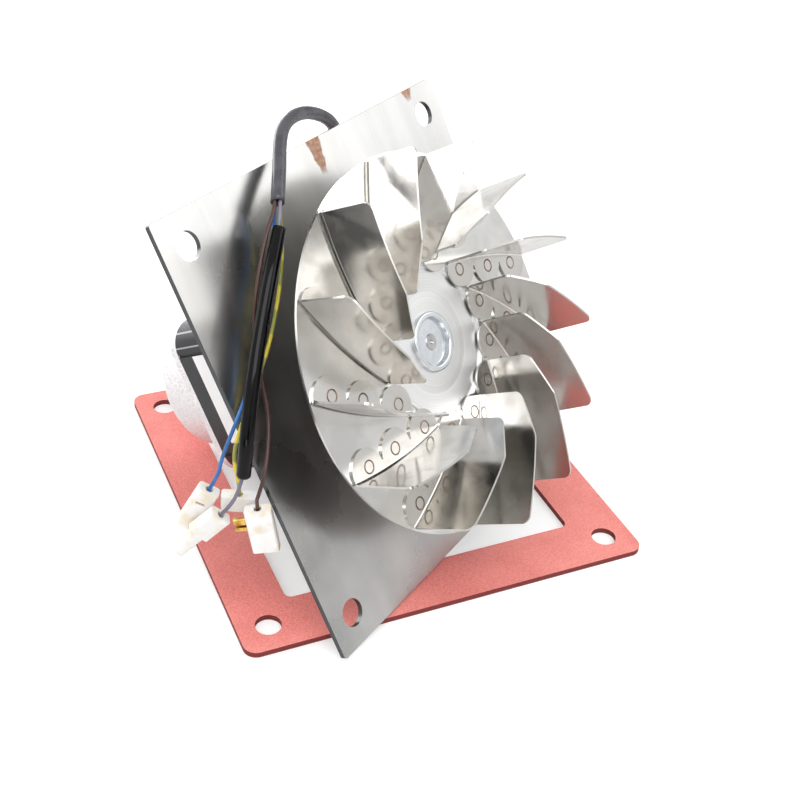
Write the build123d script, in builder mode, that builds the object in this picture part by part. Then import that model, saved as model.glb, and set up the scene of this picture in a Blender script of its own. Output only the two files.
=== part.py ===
from build123d import *
from math import asin, atan2, cos, degrees, pi, radians, sin, tan
import os

# A boiler's draught fan: square mounting plate, bladed wheel in front, motor behind, and
# the gasket sheet that it stands on. Millimetres, +Z up, the origin under the gasket's centre.

# Gasket sheet
gasket_side = 210.0
gasket_thickness = 3.0
gasket_opening = 153.0
gasket_corner_radius = 6.5
gasket_opening_radius = 3.5
gasket_hole_diameter = 12.5

# Mounting plate
plate_side = 210.0
plate_thickness = 2.5
plate_corner_radius = 1.5
plate_hole_diameter = 13.0
hole_pitch = 180.0
plate_bore_diameter = 14.0

# How the fan stands: turned about the vertical, leaned back, and its place over the gasket
fan_turn = 33.0
fan_lean = 30.0
fan_centre_x = -5.5
fan_centre_y = -22.2

# Wheel, with heights measured from the plate's front face
wheel_radius = 89.5
disc_height = 27.5
disc_thickness = 1.2
dish_depth = 1.6
dish_step_depth = 1.0
dish_step_width = 1.6
dish_inner_radius = 24.0
dish_outer_radius = 36.0
blade_count = 13
first_blade_angle = 5.0
blade_rim_gap = 0.3
blade_outer_radius = wheel_radius - blade_rim_gap
blade_inner_radius = 39.4
blade_sweep = 40.2
blade_bulge = 2.5
blade_thickness = 1.0
blade_depth = 31.2
blade_inner_depth = 23.4
blade_lean = 2.9
blade_shoulder_share = 0.66
blade_corner_radius = 4.0
blade_fold_radius = 1.5
blade_trim = 0.7
lobe_radius = 10.2
lobe_offset = 1.2
foot_rim_margin = 0.4

# Hub and shaft
shaft_diameter = 8.0
hub_diameter = 28.5
hub_neck_diameter = 25.4
hub_body_diameter = 32.0
hub_rim_thickness = 1.9
hub_rim_height = disc_height - dish_depth + hub_rim_thickness
hub_recess_diameter = 23.0
hub_recess_depth = 2.4
hub_back_height = 8.0
hub_screw_diameter = 5.0
shaft_end_reach = 0.5
shaft_end_height = hub_rim_height - hub_recess_depth + shaft_end_reach
fit_clearance = 0.05

# Motor
core_side = 84.0
core_corner_radius = 14.0
core_front = -55.0
core_length = 42.0
core_groove_width = 1.6
core_groove_depth = 0.9
core_bore_diameter = 48.0
air_gap = 0.4
slot_count = 12
slot_depth = 12.0
slot_width = 5.0
winding_length = 11.0
winding_wall = 9.0
bell_flange_thickness = 4.0
bell_wall = 3.0
bell_radius = 38.0
bell_edge_radius = 4.0
front_bell_depth = 20.0
bell_draft = 2.0
bearing_outer_diameter = 22.0
bearing_width = 7.0
bearing_ring = 2.4
ball_count = 7
ball_diameter = 4.0
shaft_shoulder_diameter = 12.0
bearing_housing_wall = 3.5
spring_thickness = 0.8
end_ring_length = 6.0
end_ring_wall = 7.0
bolt_pitch = 66.0
bolt_diameter = 4.0
bolt_hole_clearance = 0.15
bolt_head_diameter = 8.0
bolt_head_height = 3.2
screw_head_diameter = 8.0
screw_head_depth = (screw_head_diameter - bolt_diameter) / 2
screw_head_sink = 0.1
screw_drive_diameter = 2.9
screw_drive_depth = 1.4
standoff_width = 8.0
thread_length = 8.0

# Cooling fan on the shaft behind the plate
cooling_radius = 30.0
cooling_front = -9.0
cooling_length = 11.0
cooling_disc_thickness = 1.8
cooling_hub_diameter = 18.0
cooling_blade_count = 8
cooling_blade_thickness = 1.6

# Cable gland on the front end bell
gland_angle = 65.0
gland_diameter = 8.6
gland_length = 7.0
gland_lip_diameter = 10.4
gland_lip_length = 2.0
gland_boss_diameter = 10.8
gland_boss_height = 1.5

# Cable, wires and their covers
sheath_diameter = 6.2
sleeve_diameter = 6.4
sleeve_bore = 5.0
wire_diameter = 1.7
cover_thickness = 6.0
cover_wall = 1.4
cover_corner_radius = 1.3
window_depth = 7.4
window_height = 1.4
cover_hole_diameter = 3.4
terminal_width = 6.6
terminal_height = cover_thickness - 2 * cover_wall
terminal_sheet = 0.7
terminal_slit = 1.4
receptacle_length = 8.0
barrel_length = 4.5
barrel_diameter = 2.8
wire_seat = 3.0
wire_spread = 1.6

os.makedirs("parts", exist_ok=True)

# The fan's own frame: x to the right along the plate, y up the plate, z out of its front face
lean = radians(fan_lean)
turn = radians(fan_turn)
fan_centre_z = gasket_thickness + plate_thickness * sin(lean) + plate_side / 2 * cos(lean)
plate_right = Vector(cos(turn), sin(turn), 0)
plate_front = Vector(sin(turn) * cos(lean), -cos(turn) * cos(lean), sin(lean))
fan = Plane(origin=(fan_centre_x, fan_centre_y, fan_centre_z), x_dir=plate_right, z_dir=plate_front)
spin_axis = Axis(fan.origin, fan.z_dir)
section = Plane(origin=fan.origin, x_dir=fan.x_dir, z_dir=-fan.y_dir)


def fan_point(x, y, z):
    """A point given in the fan's own frame."""
    return fan.from_local_coords(Vector(x, y, z))


def turned(plane, angle, origin):
    """The plane turned about its normal by an angle in degrees and put on a new origin."""
    x_dir = plane.x_dir * cos(radians(angle)) + plane.y_dir * sin(radians(angle))
    return Plane(origin=origin, x_dir=x_dir, z_dir=plane.z_dir)


# Gasket: a stamped sheet with a square opening
with BuildPart() as gasket:
    with BuildSketch():
        RectangleRounded(gasket_side, gasket_side, gasket_corner_radius)
        RectangleRounded(gasket_opening, gasket_opening, gasket_opening_radius, mode=Mode.SUBTRACT)
        with GridLocations(hole_pitch, hole_pitch, 2, 2):
            Circle(gasket_hole_diameter / 2, mode=Mode.SUBTRACT)
    extrude(amount=gasket_thickness)
gasket.part.label = "gasket"
export_step(gasket.part, "parts/gasket.step")

# Mounting plate: flat sheet steel, holes at the corners, a bore for the hub and four screw holes
plate_back = -plate_thickness
with BuildPart() as mounting_plate:
    with BuildSketch(fan.offset(plate_back)):
        RectangleRounded(plate_side, plate_side, plate_corner_radius)
        with GridLocations(hole_pitch, hole_pitch, 2, 2):
            Circle(plate_hole_diameter / 2, mode=Mode.SUBTRACT)
        with GridLocations(bolt_pitch, bolt_pitch, 2, 2):
            Circle(bolt_diameter / 2 + bolt_hole_clearance, mode=Mode.SUBTRACT)
        Circle(plate_bore_diameter / 2, mode=Mode.SUBTRACT)
    extrude(amount=plate_thickness)
    with BuildSketch(fan):
        with GridLocations(bolt_pitch, bolt_pitch, 2, 2):
            Circle(screw_head_diameter / 2 + bolt_hole_clearance)
    extrude(amount=-screw_head_depth, taper=45, mode=Mode.SUBTRACT)
mounting_plate.part.label = "mounting_plate"
export_step(mounting_plate.part, "parts/mounting_plate.step")

# Back disc of the wheel: one pressing, with its middle dished towards the plate
dish_height = disc_height - dish_depth
dish_step_radius = dish_outer_radius - dish_step_width
with BuildPart() as impeller_disc:
    with BuildSketch(section):
        with BuildLine():
            Polyline(
                (wheel_radius, disc_height),
                (dish_outer_radius, disc_height),
                (dish_step_radius, disc_height - dish_step_depth),
                (dish_inner_radius, dish_height),
                (hub_neck_diameter / 2, dish_height),
                (hub_neck_diameter / 2, dish_height - disc_thickness),
                (dish_inner_radius, dish_height - disc_thickness),
                (dish_step_radius, disc_height - dish_step_depth - disc_thickness),
                (dish_outer_radius, disc_height - disc_thickness),
                (wheel_radius, disc_height - disc_thickness),
                close=True,
            )
        make_face()
    revolve(axis=spin_axis)
    soft_edges = impeller_disc.edges().filter_by(
        lambda e: e.geom_type == GeomType.CIRCLE and dish_inner_radius - 1 < e.radius < dish_outer_radius + 1
    )
    fillet(soft_edges, disc_thickness * 1.5)
impeller_disc.part.label = "impeller_disc"
export_step(impeller_disc.part, "parts/impeller_disc.step")

# Blades: sheet steel folded along an arc, the foot cut to three round lobes
blade_outer = Vector(blade_outer_radius, 0)
blade_inner = Vector(
    blade_inner_radius * cos(radians(blade_sweep)),
    blade_inner_radius * sin(radians(blade_sweep)),
)
blade_chord = (blade_inner - blade_outer).length
chord_angle = degrees(atan2(blade_inner.Y - blade_outer.Y, blade_inner.X - blade_outer.X))
lobe_pitch = blade_chord / 3
lobe_centre = lobe_offset + blade_thickness
foot_start = blade_fold_radius + 0.1
blade_middle = blade_chord / 2
blade_arc_radius = (blade_middle**2 + blade_bulge**2) / (2 * blade_bulge)
fold_slope = asin(blade_middle / blade_arc_radius)
for number in range(1, blade_count + 1):
    angle = first_blade_angle + (number - 1) * 360 / blade_count
    disc_centre = fan_point(0, 0, disc_height)
    disc_face = turned(fan, angle, disc_centre)
    outer_end = disc_face.from_local_coords(blade_outer)
    chord = turned(disc_face, chord_angle, outer_end)
    side_view = Plane(origin=outer_end, x_dir=chord.x_dir, z_dir=-chord.y_dir)
    start_tangent = chord.x_dir * cos(fold_slope) - chord.y_dir * sin(fold_slope)
    fold_end = Plane(origin=outer_end, x_dir=fan.z_dir.cross(start_tangent), z_dir=start_tangent)
    hub_centre = chord.to_local_coords(disc_centre)
    bend_centre = chord.from_local_coords(Vector(blade_middle, blade_arc_radius - blade_bulge))
    with BuildPart() as blade:
        with BuildSketch(fold_end):
            with BuildLine():
                FilletPolyline(
                    (lobe_centre, blade_thickness / 2),
                    (0, blade_thickness / 2),
                    (-blade_lean, blade_depth + blade_trim),
                    radius=blade_fold_radius,
                )
            trace(line_width=blade_thickness)
        revolve(axis=Axis(bend_centre, fan.z_dir), revolution_arc=2 * degrees(fold_slope))
        with BuildSketch(side_view.offset(-lobe_pitch)):
            with BuildLine():
                Polyline(
                    (blade_trim, -1),
                    (blade_trim, blade_depth),
                    (blade_chord * blade_shoulder_share, blade_depth),
                    (blade_chord - blade_trim, blade_inner_depth),
                    (blade_chord - blade_trim, -1),
                    close=True,
                )
            make_face()
        extrude(amount=2 * lobe_pitch, mode=Mode.INTERSECT)
        corners = blade.edges().filter_by(
            lambda e: e.length < 2 * blade_thickness
            and chord.to_local_coords(e.center()).Z > blade_inner_depth - blade_thickness
        )
        fillet(corners, blade_corner_radius)
        with BuildSketch(chord):
            with Locations(*[(lobe_pitch * (i + 0.5), lobe_centre) for i in range(3)]):
                Circle(lobe_radius)
            with Locations((blade_middle, lobe_centre + lobe_radius / 2)):
                Rectangle(blade_chord, lobe_radius, mode=Mode.INTERSECT)
            with BuildLine():
                ThreePointArc(
                    (blade_trim, foot_start),
                    (blade_middle, foot_start - blade_bulge),
                    (blade_chord - blade_trim, foot_start),
                )
                Polyline(
                    (blade_chord - blade_trim, foot_start),
                    (blade_chord - blade_trim, lobe_centre + 0.5),
                    (blade_trim, lobe_centre + 0.5),
                    (blade_trim, foot_start),
                )
            make_face()
            with Locations((hub_centre.X, hub_centre.Y)):
                Circle(wheel_radius - foot_rim_margin, mode=Mode.INTERSECT)
        extrude(amount=blade_thickness)
    name = f"blade_{number:02d}"
    blade.part.label = name
    export_step(blade.part, f"parts/{name}.step")

# Hub: turned steel, its neck through the disc, the front rim rolled over it
hub_seat = dish_height - disc_thickness
with BuildPart() as hub:
    with BuildSketch(section):
        with BuildLine():
            Polyline(
                (shaft_diameter / 2, hub_back_height),
                (hub_body_diameter / 2, hub_back_height),
                (hub_body_diameter / 2, hub_seat),
                (hub_neck_diameter / 2, hub_seat),
                (hub_neck_diameter / 2, dish_height),
                (hub_diameter / 2, dish_height),
                (hub_diameter / 2, hub_rim_height),
                (hub_recess_diameter / 2, hub_rim_height),
                (hub_recess_diameter / 2 - 0.8, hub_rim_height - hub_recess_depth),
                (shaft_diameter / 2, hub_rim_height - hub_recess_depth),
                close=True,
            )
        make_face()
    revolve(axis=spin_axis)
    rim = hub.edges().filter_by(
        lambda e: e.geom_type == GeomType.CIRCLE
        and abs(fan.to_local_coords(e.center()).Z - hub_rim_height) < 0.01
    )
    fillet(rim, 0.8)
    screw_height = (hub_back_height + hub_seat) / 2
    screw_plane = Plane(origin=fan_point(0, 0, screw_height), x_dir=fan.z_dir, z_dir=fan.x_dir)
    with BuildSketch(screw_plane):
        Circle(hub_screw_diameter / 2 + fit_clearance)
    extrude(amount=hub_body_diameter, mode=Mode.SUBTRACT)
hub.part.label = "hub"
export_step(hub.part, "parts/hub.step")

# Grub screw: clamps the hub on the shaft
with BuildPart() as hub_screw:
    with BuildSketch(screw_plane.offset(shaft_diameter / 2)):
        Circle(hub_screw_diameter / 2)
    extrude(amount=hub_body_diameter / 2 - shaft_diameter / 2 - 0.5)
    with BuildSketch(screw_plane.offset(hub_body_diameter / 2 - 0.5)):
        RegularPolygon(hub_screw_diameter / 4, 6)
    extrude(amount=-hub_screw_diameter / 2, mode=Mode.SUBTRACT)
hub_screw.part.label = "hub_screw"
export_step(hub_screw.part, "parts/hub_screw.step")

# The motor's heights along the axis
core_back = core_front - core_length
front_bell_end = core_front + front_bell_depth
tangent_radius = bell_radius - bell_edge_radius
rear_bell_end = -2 * (fan_centre_z - tangent_radius * cos(lean) - bell_edge_radius) - bell_edge_radius
front_bearing_back = front_bell_end - bell_wall - bearing_width
rear_bearing_front = rear_bell_end + bell_wall + spring_thickness + bearing_width
shaft_back = rear_bearing_front - bearing_width - 0.2

# Shaft: ground steel, thicker between the bearings, a centre hole in its front end
with BuildPart() as shaft:
    with BuildSketch(section):
        with BuildLine():
            Polyline(
                (0, shaft_back),
                (shaft_diameter / 2, shaft_back),
                (shaft_diameter / 2, rear_bearing_front),
                (shaft_shoulder_diameter / 2, rear_bearing_front),
                (shaft_shoulder_diameter / 2, front_bearing_back),
                (shaft_diameter / 2, front_bearing_back),
                (shaft_diameter / 2, shaft_end_height),
                (1.2, shaft_end_height),
                (0, shaft_end_height - 1.2),
                close=True,
            )
        make_face()
    revolve(axis=spin_axis)
    shaft_ends = shaft.edges().filter_by(
        lambda e: e.geom_type == GeomType.CIRCLE
        and abs(e.radius - shaft_diameter / 2) < 0.01
        and not front_bearing_back - 1 < fan.to_local_coords(e.center()).Z < front_bearing_back + 1
        and not rear_bearing_front - 1 < fan.to_local_coords(e.center()).Z < rear_bearing_front + 1
    )
    chamfer(shaft_ends, 0.5)
shaft.part.label = "shaft"
export_step(shaft.part, "parts/shaft.step")

# Stator core: a laminated stack with slots, its outside painted black, grooves near the corners
groove_place = core_side / 2 - core_corner_radius
with BuildPart() as stator_core:
    with BuildSketch(fan.offset(core_back)):
        RectangleRounded(core_side, core_side, core_corner_radius)
        Circle(core_bore_diameter / 2, mode=Mode.SUBTRACT)
        with PolarLocations(core_bore_diameter / 2 + slot_depth / 2, slot_count):
            Rectangle(slot_depth + 1, slot_width, mode=Mode.SUBTRACT)
        with GridLocations(bolt_pitch, bolt_pitch, 2, 2):
            Circle(bolt_diameter / 2 + bolt_hole_clearance, mode=Mode.SUBTRACT)
        with GridLocations(core_side, 2 * groove_place, 2, 2):
            Rectangle(2 * core_groove_depth, core_groove_width, mode=Mode.SUBTRACT)
        with GridLocations(2 * groove_place, core_side, 2, 2):
            Rectangle(core_groove_width, 2 * core_groove_depth, mode=Mode.SUBTRACT)
    extrude(amount=core_length)
stator_core.part.label = "stator_core"
export_step(stator_core.part, "parts/stator_core.step")

# Winding: bars through the core's slots and a taped ring of end turns on either side
winding_inner = core_bore_diameter / 2 + 1.0
with BuildPart() as stator_winding:
    with BuildSketch(fan.offset(core_back)):
        with PolarLocations(winding_inner + winding_wall / 2, slot_count):
            Rectangle(winding_wall - 1.0, slot_width - 1.0)
    extrude(amount=core_length)
    for base, reach in ((core_front, winding_length), (core_back, -winding_length)):
        with BuildSketch(fan.offset(base)):
            Circle(winding_inner + winding_wall)
            Circle(winding_inner, mode=Mode.SUBTRACT)
        extrude(amount=reach)
        far_edges = stator_winding.edges().filter_by(
            lambda e: e.geom_type == GeomType.CIRCLE
            and abs(fan.to_local_coords(e.center()).Z - (base + reach)) < 0.01
        )
        fillet(far_edges, winding_wall * 0.3)
stator_winding.part.label = "stator_winding"
export_step(stator_winding.part, "parts/stator_winding.step")

# Rotor: laminated core and the cast rings that close its cage
rotor_radius = core_bore_diameter / 2 - air_gap
with BuildPart() as rotor_core:
    with BuildSketch(fan.offset(core_back)):
        Circle(rotor_radius)
        Circle(shaft_shoulder_diameter / 2, mode=Mode.SUBTRACT)
    extrude(amount=core_length)
rotor_core.part.label = "rotor_core"
export_step(rotor_core.part, "parts/rotor_core.step")

with BuildPart() as rotor_end_rings:
    for base, reach in ((core_front, end_ring_length), (core_back, -end_ring_length)):
        with BuildSketch(fan.offset(base)):
            Circle(rotor_radius - 1.0)
            Circle(rotor_radius - 1.0 - end_ring_wall, mode=Mode.SUBTRACT)
        extrude(amount=reach)
rotor_end_rings.part.label = "rotor_end_rings"
export_step(rotor_end_rings.part, "parts/rotor_end_rings.step")


def end_bell_profile(core_face, end, outward, bore):
    """Half section of a cast end bell: outside wall, end wall, bearing housing, drafted inside."""
    inner = bell_radius - bell_wall
    seat = end - outward * bell_wall
    housing = seat - outward * (bearing_width + spring_thickness)
    return Polyline(
        (bell_radius, core_face),
        (bell_radius, end),
        (bore, end),
        (bore, seat),
        (bearing_outer_diameter / 2, seat),
        (bearing_outer_diameter / 2, housing),
        (bearing_outer_diameter / 2 + bearing_housing_wall, housing),
        (bearing_outer_diameter / 2 + bearing_housing_wall, seat),
        (inner - bell_draft, seat),
        (inner, core_face),
        close=True,
    )


# End bells: aluminium castings, a thin square flange on the core and a round dome
gland_height = (core_front + bell_flange_thickness + front_bell_end - bell_edge_radius) / 2
gland_direction = fan.x_dir * cos(radians(gland_angle)) + fan.y_dir * sin(radians(gland_angle))
gland_plane = Plane(origin=fan_point(0, 0, gland_height), x_dir=fan.z_dir, z_dir=gland_direction)
for name, core_face, end, outward, bore in (
    ("front_end_bell", core_front, front_bell_end, 1, shaft_diameter / 2 + 1.0),
    ("rear_end_bell", core_back, rear_bell_end, -1, 0),
):
    with BuildPart() as bell:
        with BuildSketch(section):
            with BuildLine():
                end_bell_profile(core_face, end, outward, bore)
            make_face()
        revolve(axis=spin_axis)
        outer_edge = bell.edges().filter_by(
            lambda e: e.geom_type == GeomType.CIRCLE
            and abs(fan.to_local_coords(e.center()).Z - end) < 0.01
            and e.radius > bearing_outer_diameter
        )
        fillet(outer_edge, bell_edge_radius)
        with BuildSketch(fan.offset(core_face)):
            RectangleRounded(core_side, core_side, core_corner_radius)
            Circle(bell_radius - 1.0, mode=Mode.SUBTRACT)
            with GridLocations(bolt_pitch, bolt_pitch, 2, 2):
                Circle(bolt_diameter / 2 + bolt_hole_clearance, mode=Mode.SUBTRACT)
        extrude(amount=outward * bell_flange_thickness)
        if name == "front_end_bell":
            with BuildSketch(gland_plane.offset(bell_radius - bell_wall)):
                Circle(gland_boss_diameter / 2)
            extrude(amount=bell_wall + gland_boss_height)
            with BuildSketch(gland_plane.offset(bell_radius - bell_wall - bell_draft)):
                Circle(gland_diameter / 2)
            extrude(amount=bell_wall + bell_draft + gland_boss_height, mode=Mode.SUBTRACT)
    bell.part.label = name
    export_step(bell.part, f"parts/{name}.step")

# Ball bearings: outer and inner rings with a round groove, and the balls between them
ball_circle = (bearing_outer_diameter + shaft_diameter) / 4
groove_radius = ball_diameter / 2
for name, back in (("front_bearing", front_bearing_back), ("rear_bearing", rear_bearing_front - bearing_width)):
    middle = back + bearing_width / 2
    with BuildPart() as outer_ring:
        with BuildSketch(fan.offset(back)):
            Circle(bearing_outer_diameter / 2)
            Circle(bearing_outer_diameter / 2 - bearing_ring, mode=Mode.SUBTRACT)
        extrude(amount=bearing_width)
        with BuildSketch(section):
            with Locations((ball_circle, middle)):
                Circle(groove_radius)
        revolve(axis=spin_axis, mode=Mode.SUBTRACT)
    outer_ring.part.label = f"{name}_outer"
    export_step(outer_ring.part, f"parts/{name}_outer.step")
    with BuildPart() as inner_ring:
        with BuildSketch(fan.offset(back)):
            Circle(shaft_diameter / 2 + bearing_ring)
            Circle(shaft_diameter / 2, mode=Mode.SUBTRACT)
        extrude(amount=bearing_width)
        with BuildSketch(section):
            with Locations((ball_circle, middle)):
                Circle(groove_radius + 2 * fit_clearance)
        revolve(axis=spin_axis, mode=Mode.SUBTRACT)
    inner_ring.part.label = f"{name}_inner"
    export_step(inner_ring.part, f"parts/{name}_inner.step")
    with BuildPart(fan.offset(middle)) as balls:
        with PolarLocations(ball_circle, ball_count):
            Sphere(groove_radius)
    balls.part.label = f"{name}_balls"
    export_step(balls.part, f"parts/{name}_balls.step")

# Bearing spring: pushes the rear bearing forward
with BuildPart() as bearing_spring:
    with BuildSketch(fan.offset(rear_bell_end + bell_wall)):
        Circle(bearing_outer_diameter / 2 - 0.5)
        Circle(bearing_outer_diameter / 2 - bearing_ring, mode=Mode.SUBTRACT)
    extrude(amount=spring_thickness)
bearing_spring.part.label = "bearing_spring"
export_step(bearing_spring.part, "parts/bearing_spring.step")

# Standoffs: four hexagonal spacers between the motor and the plate, threaded at both ends
motor_front = core_front + bell_flange_thickness
motor_back = core_back - bell_flange_thickness
with BuildPart() as standoffs:
    with BuildSketch(fan.offset(motor_front)):
        with GridLocations(bolt_pitch, bolt_pitch, 2, 2):
            RegularPolygon(standoff_width / 2, 6, major_radius=False)
            Circle(bolt_diameter / 2, mode=Mode.SUBTRACT)
    extrude(amount=plate_back - motor_front)
standoffs.part.label = "standoffs"
export_step(standoffs.part, "parts/standoffs.step")

# Through bolts: cheese heads on the rear bell, shanks through the motor into the standoffs
with BuildPart() as through_bolts:
    with BuildSketch(fan.offset(motor_back)):
        with GridLocations(bolt_pitch, bolt_pitch, 2, 2):
            Circle(bolt_head_diameter / 2)
    extrude(amount=-bolt_head_height)
    with BuildSketch(fan.offset(motor_back)):
        with GridLocations(bolt_pitch, bolt_pitch, 2, 2):
            Circle(bolt_diameter / 2)
    extrude(amount=motor_front + thread_length - motor_back)
    with BuildSketch(fan.offset(motor_back - bolt_head_height)):
        with GridLocations(bolt_pitch, bolt_pitch, 2, 2):
            RegularPolygon(bolt_diameter / 2, 6)
    extrude(amount=bolt_head_height * 0.6, mode=Mode.SUBTRACT)
through_bolts.part.label = "through_bolts"
export_step(through_bolts.part, "parts/through_bolts.step")

# Plate screws: countersunk just under the plate's front face, so that a flange can lie on it
with BuildPart() as plate_screws:
    with BuildSketch(fan.offset(-screw_head_sink)):
        with GridLocations(bolt_pitch, bolt_pitch, 2, 2):
            Circle(screw_head_diameter / 2 - screw_head_sink)
    extrude(amount=screw_head_sink - screw_head_depth, taper=45)
    with BuildSketch(fan.offset(-screw_head_depth + bolt_hole_clearance)):
        with GridLocations(bolt_pitch, bolt_pitch, 2, 2):
            Circle(bolt_diameter / 2)
    extrude(amount=plate_back - thread_length + screw_head_depth - bolt_hole_clearance)
    with BuildSketch(fan.offset(-screw_head_sink)):
        with GridLocations(bolt_pitch, bolt_pitch, 2, 2):
            RegularPolygon(screw_drive_diameter / 2, 6)
    extrude(amount=-screw_drive_depth, mode=Mode.SUBTRACT)
plate_screws.part.label = "plate_screws"
export_step(plate_screws.part, "parts/plate_screws.step")

# Cooling fan: a disc with flat blades, pressed on the shaft between plate and motor
with BuildPart() as cooling_fan:
    with BuildSketch(fan.offset(cooling_front)):
        Circle(cooling_radius)
        Circle(shaft_diameter / 2, mode=Mode.SUBTRACT)
    extrude(amount=-cooling_disc_thickness)
    with BuildSketch(fan.offset(cooling_front - cooling_disc_thickness)):
        Circle(cooling_hub_diameter / 2)
        Circle(shaft_diameter / 2, mode=Mode.SUBTRACT)
    extrude(amount=cooling_disc_thickness - cooling_length)
    with BuildSketch(fan.offset(cooling_front - cooling_disc_thickness)):
        with PolarLocations((cooling_hub_diameter / 2 + cooling_radius) / 2 - 0.5, cooling_blade_count):
            Rectangle(cooling_radius - cooling_hub_diameter / 2, cooling_blade_thickness)
    extrude(amount=cooling_disc_thickness - cooling_length)
cooling_fan.part.label = "cooling_fan"
export_step(cooling_fan.part, "parts/cooling_fan.step")

# Cable gland: a moulded bush in the front end bell's boss
gland_seat = bell_radius + gland_boss_height
with BuildPart() as cable_gland:
    with BuildSketch(gland_plane.offset(gland_seat)):
        Circle(gland_diameter / 2)
    extrude(amount=-bell_wall)
    with BuildSketch(gland_plane.offset(gland_seat)):
        Circle(gland_lip_diameter / 2)
    extrude(amount=gland_lip_length)
    with BuildSketch(gland_plane.offset(gland_seat + gland_lip_length)):
        Circle(gland_diameter / 2)
    extrude(amount=gland_length - gland_lip_length, taper=6)
cable_gland.part.label = "cable_gland"
export_step(cable_gland.part, "parts/cable_gland.step")


# Cables: each one follows points in the fan's frame, its bends rounded as widely as the runs allow
def rounded_path(points):
    """World points and the bend radius at each inner one."""
    places = [fan_point(*point) for point in points]
    radii = []
    for before, here, after in zip(places, places[1:], places[2:]):
        bend = (here - before).get_angle(after - here)
        shorter = min((here - before).length, (after - here).length)
        radii.append(0.45 * shorter / tan(radians(bend) / 2))
    return places, radii


def cord(name, points, diameter, bore=0):
    """A round cord through the points, exported under its own name."""
    places, radii = rounded_path(points)
    with BuildPart() as line:
        with BuildLine():
            route = FilletPolyline(*places, radius=radii)
        with BuildSketch(Plane(origin=route @ 0, z_dir=route % 0)):
            Circle(diameter / 2)
            if bore:
                Circle(bore / 2, mode=Mode.SUBTRACT)
        sweep(path=route)
    line.part.label = name
    export_step(line.part, f"parts/{name}.step")
    straight_volume = pi * (diameter**2 - bore**2) / 4 * route.length
    print(name, "length", round(route.length, 1), "volume ratio", round(line.part.volume / straight_volume, 4))
    print("  bend radii", [round(r, 1) for r in radii])


def ahead(point, direction, distance):
    """The point moved along a direction, all in the fan's frame."""
    place = Vector(*point) + Vector(direction).normalized() * distance
    return (place.X, place.Y, place.Z)


# Sheath: from the gland, behind the plate, over its top edge and round to where the wires come out
gland_end = fan.to_local_coords(gland_plane.offset(gland_seat + gland_length).origin)
gland_exit = (gland_end.X, gland_end.Y, gland_end.Z)
sheath_end = (-44.0, 89.5, 11.5)
sheath_points = [
    gland_exit,
    ahead(gland_exit, (cos(radians(gland_angle)), sin(radians(gland_angle)), 0), 8.0),
    (32.0, 66.0, -41.0),
    (41.0, 82.0, -31.5),
    (44.0, 96.0, -19.5),
    (37.5, 105.5, -13.5),
    (27.0, 112.0, -9.5),
    (12.0, 117.0, -5.0),
    (-3.5, 118.0, -0.5),
    (-15.0, 115.5, 3.0),
    (-24.0, 108.5, 5.5),
    (-31.5, 101.0, 8.0),
    sheath_end,
]
cord("cable_sheath", sheath_points, sheath_diameter)

# Covers: pale insulating boots over brass terminals, hanging at the wires' ends
# Each has the point where its wire enters, the way down its length and the way across its width
cover_places = {
    "blue": ((-113.4, -10.2, -25.9), (-5.9, -13.5, -18.3), (4.9, -6.7, 4.8)),
    "green": ((-106.1, -17.5, -17.9), (-0.1, -6.9, -4.1), (8.6, -5.6, 12.0)),
    "brown": ((-108.4, -23.9, -7.8), (2.3, -21.9, -8.6), (6.2, -5.6, 7.6)),
    "grey": ((-116.2, -21.6, -22.5), (-12.0, -11.4, -27.6), (5.0, -7.0, 1.5)),
}
cover_planes = {}
for colour, (entry, down, across) in cover_places.items():
    down_way = fan_point(*down) - fan.origin
    across_way = fan_point(*across) - fan.origin
    cover_planes[colour] = Plane(origin=fan_point(*entry), x_dir=across_way, z_dir=down_way)

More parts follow.
